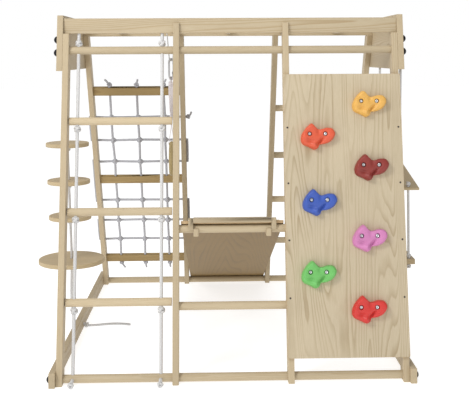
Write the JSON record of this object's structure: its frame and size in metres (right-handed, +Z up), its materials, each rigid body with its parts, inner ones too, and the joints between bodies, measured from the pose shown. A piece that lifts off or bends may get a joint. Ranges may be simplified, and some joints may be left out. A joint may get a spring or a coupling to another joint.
{
  "type": "indoor climbing frame with climbing board",
  "caption": "Wooden indoor climbing frame with a climbing board, rope ladder, net, slide, monkey bars, gym ring, disc rope and hanging seat.",
  "frame": {"origin": "on the floor, at the centre of the whole frame's box", "axes": "X along the three bays to the right as seen from the climbing side, Y from the climbing side to the rear, Z up"},
  "size_m": [1.636, 1.6871, 1.463],
  "materials": {
    "pine": "sanded, unvarnished",
    "plywood": "sanded plywood",
    "slide_plywood": "sanded plywood",
    "sanded_birch": "sanded, unvarnished",
    "white_rope": "braided rope",
    "net_rope": "braided rope",
    "thin_cord": "thin braided cord",
    "webbing": "woven strap",
    "zinc_steel": "zinc plated",
    "bright_steel": "plain steel",
    "dark_steel": "black screws",
    "black_plastic": "moulded",
    "hold_yellow": "satin moulded",
    "hold_orange": "satin moulded",
    "hold_brown": "satin moulded",
    "hold_blue": "satin moulded",
    "hold_pink": "satin moulded",
    "hold_green": "satin moulded",
    "hold_red": "satin moulded"
  },
  "bodies": {
    "frame": {"bolt_caps": "black_plastic", "climbing_board": "plywood", "disc_rope": "white_rope", "frame_bolts": "zinc_steel", "front_bars": "pine", "front_post_1": "pine", "front_post_2": "pine", "front_post_3": "pine", "front_post_4": "pine", "front_top_rail": "pine", "hold_blue": "hold_blue", "hold_bolts": "zinc_steel", "hold_brown": "hold_brown", "hold_green": "hold_green", "hold_orange": "hold_orange", "hold_pink": "hold_pink", "hold_red": "hold_red", "hold_yellow": "hold_yellow", "ladder_ropes": "white_rope", "ladder_rungs": "pine", "left_base_rail": "pine", "left_gusset": "pine", "middle_rungs": "pine", "monkey_bars": "pine", "net_boards": "pine", "net_rope": "net_rope", "net_uprights": "net_rope", "rear_bottom_bar": "pine", "rear_post_1": "pine", "rear_post_2": "pine", "rear_post_3": "pine", "rear_post_4": "pine", "rear_rungs": "pine", "rear_top_rail": "pine", "right_base_rail": "pine", "right_gusset": "pine", "rope_tail": "white_rope", "seat_rope_ends": "white_rope", "threaded_inserts": "zinc_steel", "wood_screws": "dark_steel"},
    "slide": {"slide_bed": "slide_plywood", "slide_side_rails": "pine", "slide_hooks": "pine"},
    "disc_a": {"small_disc_1": "sanded_birch"},
    "disc_b": {"small_disc_2": "sanded_birch"},
    "disc_c": {"small_disc_3": "sanded_birch"},
    "disc_low": {"large_disc": "sanded_birch"},
    "hanging_seat": {"seat_plank": "sanded_birch", "seat_step": "sanded_birch", "seat_ropes": "white_rope"},
    "ring_hanger": {"hanger_cord": "thin_cord", "carabiner": "bright_steel"},
    "hanger_gate": {"carabiner_gate": "bright_steel"},
    "hanging_ring": {"ring_strap": "webbing", "ring": "sanded_birch"}
  },
  "joints": [
    {"name": "slide_lift", "type": "hinge", "parent": "frame", "child": "slide", "pos_m": [0.036, -0.68907, 0.5906], "axis": [1, 0, 0], "range_deg": [0, 4.5]},
    {"name": "seat_swing", "type": "hinge", "parent": "frame", "child": "hanging_seat", "pos_m": [0.745, -0.01758, 1.2305], "axis": [0, -1, 0], "range_deg": [0, 30]},
    {"name": "disc_a_spin", "type": "hinge", "parent": "frame", "child": "disc_a", "pos_m": [-0.673, -0.42259, 0.91], "axis": [0, 0, 1], "continuous": true},
    {"name": "disc_b_spin", "type": "hinge", "parent": "frame", "child": "disc_b", "pos_m": [-0.673, -0.38982, 0.744], "axis": [0, 0, 1], "continuous": true},
    {"name": "disc_c_spin", "type": "hinge", "parent": "frame", "child": "disc_c", "pos_m": [-0.673, -0.35805, 0.583], "axis": [0, 0, 1], "continuous": true},
    {"name": "disc_low_spin", "type": "hinge", "parent": "frame", "child": "disc_low", "pos_m": [-0.673, -0.31854, 0.383], "axis": [0, 0, 1], "continuous": true},
    {"name": "hanger_swing", "type": "hinge", "parent": "frame", "child": "ring_hanger", "pos_m": [-0.221, -0.42758, 1.412], "axis": [0, 1, 0], "range_deg": [-15, 15]},
    {"name": "ring_swing", "type": "hinge", "parent": "ring_hanger", "child": "hanging_ring", "pos_m": [-0.221, -0.42758, 1.194], "axis": [0.5736, 0.8192, 0], "range_deg": [-20, 20]},
    {"name": "gate_open", "type": "hinge", "parent": "ring_hanger", "child": "hanger_gate", "pos_m": [-0.2124, -0.41529, 1.2203], "axis": [0.8192, -0.5736, 0], "range_deg": [0, 20], "stiffness_Nm_per_rad": 0.05}
  ]
}
